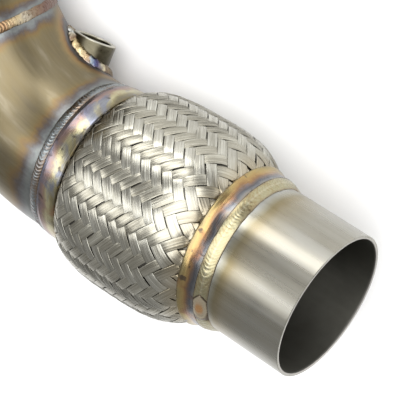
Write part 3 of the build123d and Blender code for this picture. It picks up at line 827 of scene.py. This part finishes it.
GOLD = [(0.0, (0.20, 0.13, 0.08)), (0.18, (0.32, 0.21, 0.10)), (0.36, (0.44, 0.34, 0.16)), (0.52, (0.52, 0.45, 0.29)),
        (0.66, (0.52, 0.50, 0.44)), (0.8, (0.36, 0.39, 0.44)), (0.92, (0.34, 0.25, 0.25)), (1.0, (0.42, 0.31, 0.16))]
PALE = [(0.0, (0.18, 0.125, 0.07)), (0.2, (0.235, 0.185, 0.10)), (0.36, (0.28, 0.245, 0.145)), (0.52, (0.31, 0.29, 0.19)),
        (0.66, (0.26, 0.225, 0.125)), (0.8, (0.29, 0.195, 0.105)), (0.9, (0.31, 0.265, 0.16)), (1.0, (0.37, 0.36, 0.29))]
BLUE = [(0.0, (0.12, 0.09, 0.07)), (0.2, (0.19, 0.14, 0.10)), (0.4, (0.17, 0.155, 0.145)), (0.55, (0.22, 0.25, 0.26)),
        (0.68, (0.20, 0.20, 0.20)), (0.8, (0.21, 0.15, 0.14)), (0.9, (0.17, 0.18, 0.24)), (1.0, (0.26, 0.20, 0.12))]
# painted shade: from 0.96 to 1.0 round the ring the bung weld is painted dark, as it lies in shadow there
BUNGW = [(0.0, (0.20, 0.16, 0.11)), (0.30, (0.34, 0.26, 0.14)), (0.55, (0.30, 0.22, 0.12)), (0.625, (0.36, 0.34, 0.28)), (0.66, (0.55, 0.58, 0.58)),
         (0.69, (0.50, 0.46, 0.36)), (0.71, (0.17, 0.11, 0.08)), (0.735, (0.50, 0.40, 0.22)), (0.80, (0.56, 0.47, 0.28)), (0.845, (0.50, 0.36, 0.24)),
         (0.865, (0.33, 0.40, 0.46)), (0.885, (0.10, 0.12, 0.24)), (0.905, (0.06, 0.05, 0.13)), (0.925, (0.22, 0.20, 0.20)), (0.945, (0.50, 0.46, 0.32)),
         (0.96, (0.22, 0.16, 0.11)), (1.0, (0.20, 0.16, 0.11))]
UPPERW = [(0.0, (0.30, 0.21, 0.12)), (0.20, (0.40, 0.32, 0.19)), (0.35, (0.27, 0.18, 0.11)), (0.50, (0.36, 0.31, 0.25)), (0.60, (0.26, 0.19, 0.17)),
          (0.66, (0.22, 0.16, 0.14)), (0.70, (0.16, 0.10, 0.085)), (0.735, (0.20, 0.14, 0.10)), (0.755, (0.24, 0.20, 0.15)), (0.775, (0.42, 0.385, 0.31)),
          (0.79, (0.44, 0.36, 0.22)), (0.81, (0.25, 0.155, 0.09)), (0.86, (0.36, 0.26, 0.14)), (0.94, (0.34, 0.33, 0.33)), (1.0, (0.30, 0.21, 0.12))]


def piece(ob, mat, body, node):
    set_mat(ob, mat)
    if body:
        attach(ob, body)
    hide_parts(node)


w_out = bead("outlet_bead", (-5.9, 40.86), (0.6, 38.06), 0.55,
             [(0.3, 37.4), (-1.2, 36.62), (-5.6, 36.62), (-5.75, 40.2)], same, 5, 116, 0.10, 1.9, 0.3, per=9, stop=0.989)
piece(w_out, weld_material("weld_pale", PALE, 3.0, ridge=0.2, contrast=0.16, edge_col=(0.22, 0.18, 0.13)), "outlet_side", "outlet_weld")
w_in = bead("inlet_bead", (X_ELBOW - 3.1, RP + 0.02), (XE + 1.1, 42.1), 0.42,
            [(XE + 0.4, 41.6), (XE, 40.8), (XE, 39.8), (X_ELBOW, 39.8), (X_ELBOW, RP - 0.02)], inlet, 17, 140, 0.18, 0.9, 0.25)
piece(w_in, weld_material("weld_blue", BLUE, 9.0, rel=R_IN, at=IN_AT), "inlet_side", "inlet_weld")
w_up = bead("upper_bead", (-2.7, RP), (2.7, RP), 0.62, [(0.0, RP - 0.05)], heading_place(P1, H1), 29, 132, 0.22, 0.8, 0.35)
piece(w_up, weld_material("weld_brown", UPPERW, 21.0, guide=True), "inlet_side", "upper_weld")
w_fl = bead("flange_bead", (-2.2, RP), (2.2, RP), 1.0, [(0.0, RP - 0.05)], heading_place(P3, H2), 41, 130, 0.16, 0.8, 0.2)
piece(w_fl, weld_material("weld_gold", GOLD, 33.0), "inlet_side", "flange_weld")
# the bung's rim top gets a painted highlight
piece(make_bung(), plain_material("bung_steel", (0.065, 0.058, 0.038), (0.125, 0.113, 0.078), 0.5, (0.26, 0.36), 0.1, (0.3, 1.0, 1.0),
                                  (BUNG_AT, BUNG_D, BUNG_TOP), R_IN, IN_AT),
      "inlet_side", "sensor_bung")
piece(make_bung_bead(), weld_material("bung_weld_metal", BUNGW, 50.0, edge_col=(0.13, 0.10, 0.10), guide=True), "inlet_side", "bung_weld")

set_mat(NODES["outlet_stub"], stub_material())
set_mat(NODES["elbow"], elbow_material("elbow_tint"))
set_mat(NODES["upper_pipe"], elbow_material("upper_tint", True))
OUT_TINT = [(0.0, (0.17, 0.135, 0.07)), (0.10, (0.28, 0.23, 0.12)), (0.24, (0.35, 0.27, 0.12)), (0.38, (0.33, 0.225, 0.10)), (0.50, (0.24, 0.145, 0.075)),
            (0.62, (0.16, 0.12, 0.10)), (0.76, (0.10, 0.10, 0.11)), (0.90, (0.17, 0.175, 0.18)), (1.0, (0.22, 0.20, 0.17))]
IN_TINT = [(0.0, (0.16, 0.14, 0.09)), (0.14, (0.26, 0.23, 0.13)), (0.30, (0.42, 0.39, 0.24)), (0.42, (0.44, 0.40, 0.25)), (0.54, (0.31, 0.235, 0.17)), (0.66, (0.27, 0.19, 0.175)),
           (0.80, (0.20, 0.155, 0.155)), (0.90, (0.17, 0.18, 0.22)), (1.0, (0.20, 0.15, 0.11))]
set_mat(NODES["outlet_collar"], collar_material("collar_amber", OUT_TINT, -15.0, -5.8, spots=(0.64, 0.70)))
set_mat(NODES["inlet_collar"], collar_material("collar_gold", IN_TINT, -92.8, -106.3, R_IN, IN_AT, blue=(0.47, 0.37), shift=1.3))
set_mat(NODES["inlet_flange"], plain_material("flange_steel", (0.33, 0.32, 0.295), (0.39, 0.38, 0.355), 0.25, (0.27, 0.33), 0.02, (1, 0.1, 1)))
# ------------------------------------------------------------------ floor, light, camera
floor = bpy.data.meshes.new("floor")
S = 4.0
floor.from_pydata([(-S, -S, 0), (S, -S, 0), (S, S, 0), (-S, S, 0)], [], [(0, 1, 2, 3)])
fo = bpy.data.objects.new("floor", floor)
bpy.context.scene.collection.objects.link(fo)
fm = bpy.data.materials.new("floor_paper")
fm.use_nodes = True
fnt = fm.node_tree
fb = fnt.nodes["Principled BSDF"]
fb.inputs["Roughness"].default_value = 0.9
fb.inputs["Specular IOR Level"].default_value = 0.1
ftc = fnt.nodes.new("ShaderNodeTexCoord")
fn = fnt.nodes.new("ShaderNodeTexNoise")
fn.inputs["Scale"].default_value = 6.0
fr = fnt.nodes.new("ShaderNodeValToRGB")
fr.color_ramp.elements[0].color = (0.88, 0.88, 0.88, 1)
fr.color_ramp.elements[1].color = (0.92, 0.92, 0.92, 1)
fnt.links.new(ftc.outputs["Object"], fn.inputs["Vector"])
fnt.links.new(fn.outputs["Fac"], fr.inputs[0])
fnt.links.new(fr.outputs[0], fb.inputs["Base Color"])
floor.materials.append(fm)

CAM_P = np.array([334.841, 462.405, 577.383])
ROWS_P = np.array([[0.772425, 0.152029, -0.616641], [0.443769, -0.82378, 0.352783], [-0.454343, -0.546145, -0.703774]])
cam_at = world(CAM_P)
right, down, fwd = (ROWS_P @ R_LIE.T)
M = Matrix(((right[0], -down[0], -fwd[0], cam_at[0]), (right[1], -down[1], -fwd[1], cam_at[1]),
            (right[2], -down[2], -fwd[2], cam_at[2]), (0, 0, 0, 1)))
cd = bpy.data.cameras.new("camera")
cd.sensor_width = 36.0
cd.lens = 1700.0 * 36.0 / 400.0
cd.clip_start = 0.01
cd.clip_end = 20.0
cam = bpy.data.objects.new("camera", cd)
bpy.context.scene.collection.objects.link(cam)
cam.matrix_world = M
bpy.context.scene.camera = cam

MID = world(np.array([-55.0, 10.0, 0.0]))


def area(name, direction, dist, size, power, size_y=None):
    """A soft box at MID + direction * dist that faces MID; direction is in the floor's frame."""
    d = np.array(direction, float)
    d = d / np.linalg.norm(d)
    ld = bpy.data.lights.new(name, "AREA")
    ld.shape = "RECTANGLE"
    ld.size, ld.size_y = size, size_y or size
    ld.energy = power
    ob = bpy.data.objects.new(name, ld)
    bpy.context.scene.collection.objects.link(ob)
    ob.location = Vector(MID + d * dist)
    ob.rotation_euler = Vector(d.tolist()).to_track_quat("Z", "Y").to_euler()
    return ob


area("key", (0.40, 0.55, 1.0), 1.5, 2.0, 42)
area("back", (-0.36, 0.92, 0.20), 1.3, 1.1, 7, size_y=0.42)
area("left", (-0.75, 0.10, 0.80), 1.3, 0.5, 5, size_y=1.0)

wd = bpy.data.worlds.new("studio")
bpy.context.scene.world = wd
wd.use_nodes = True
wnt = wd.node_tree
bg = wnt.nodes["Background"]
bg.inputs["Strength"].default_value = 0.55
bg.inputs["Color"].default_value = (1, 1, 1, 1)
bpy.context.scene.view_settings.view_transform = "Standard"
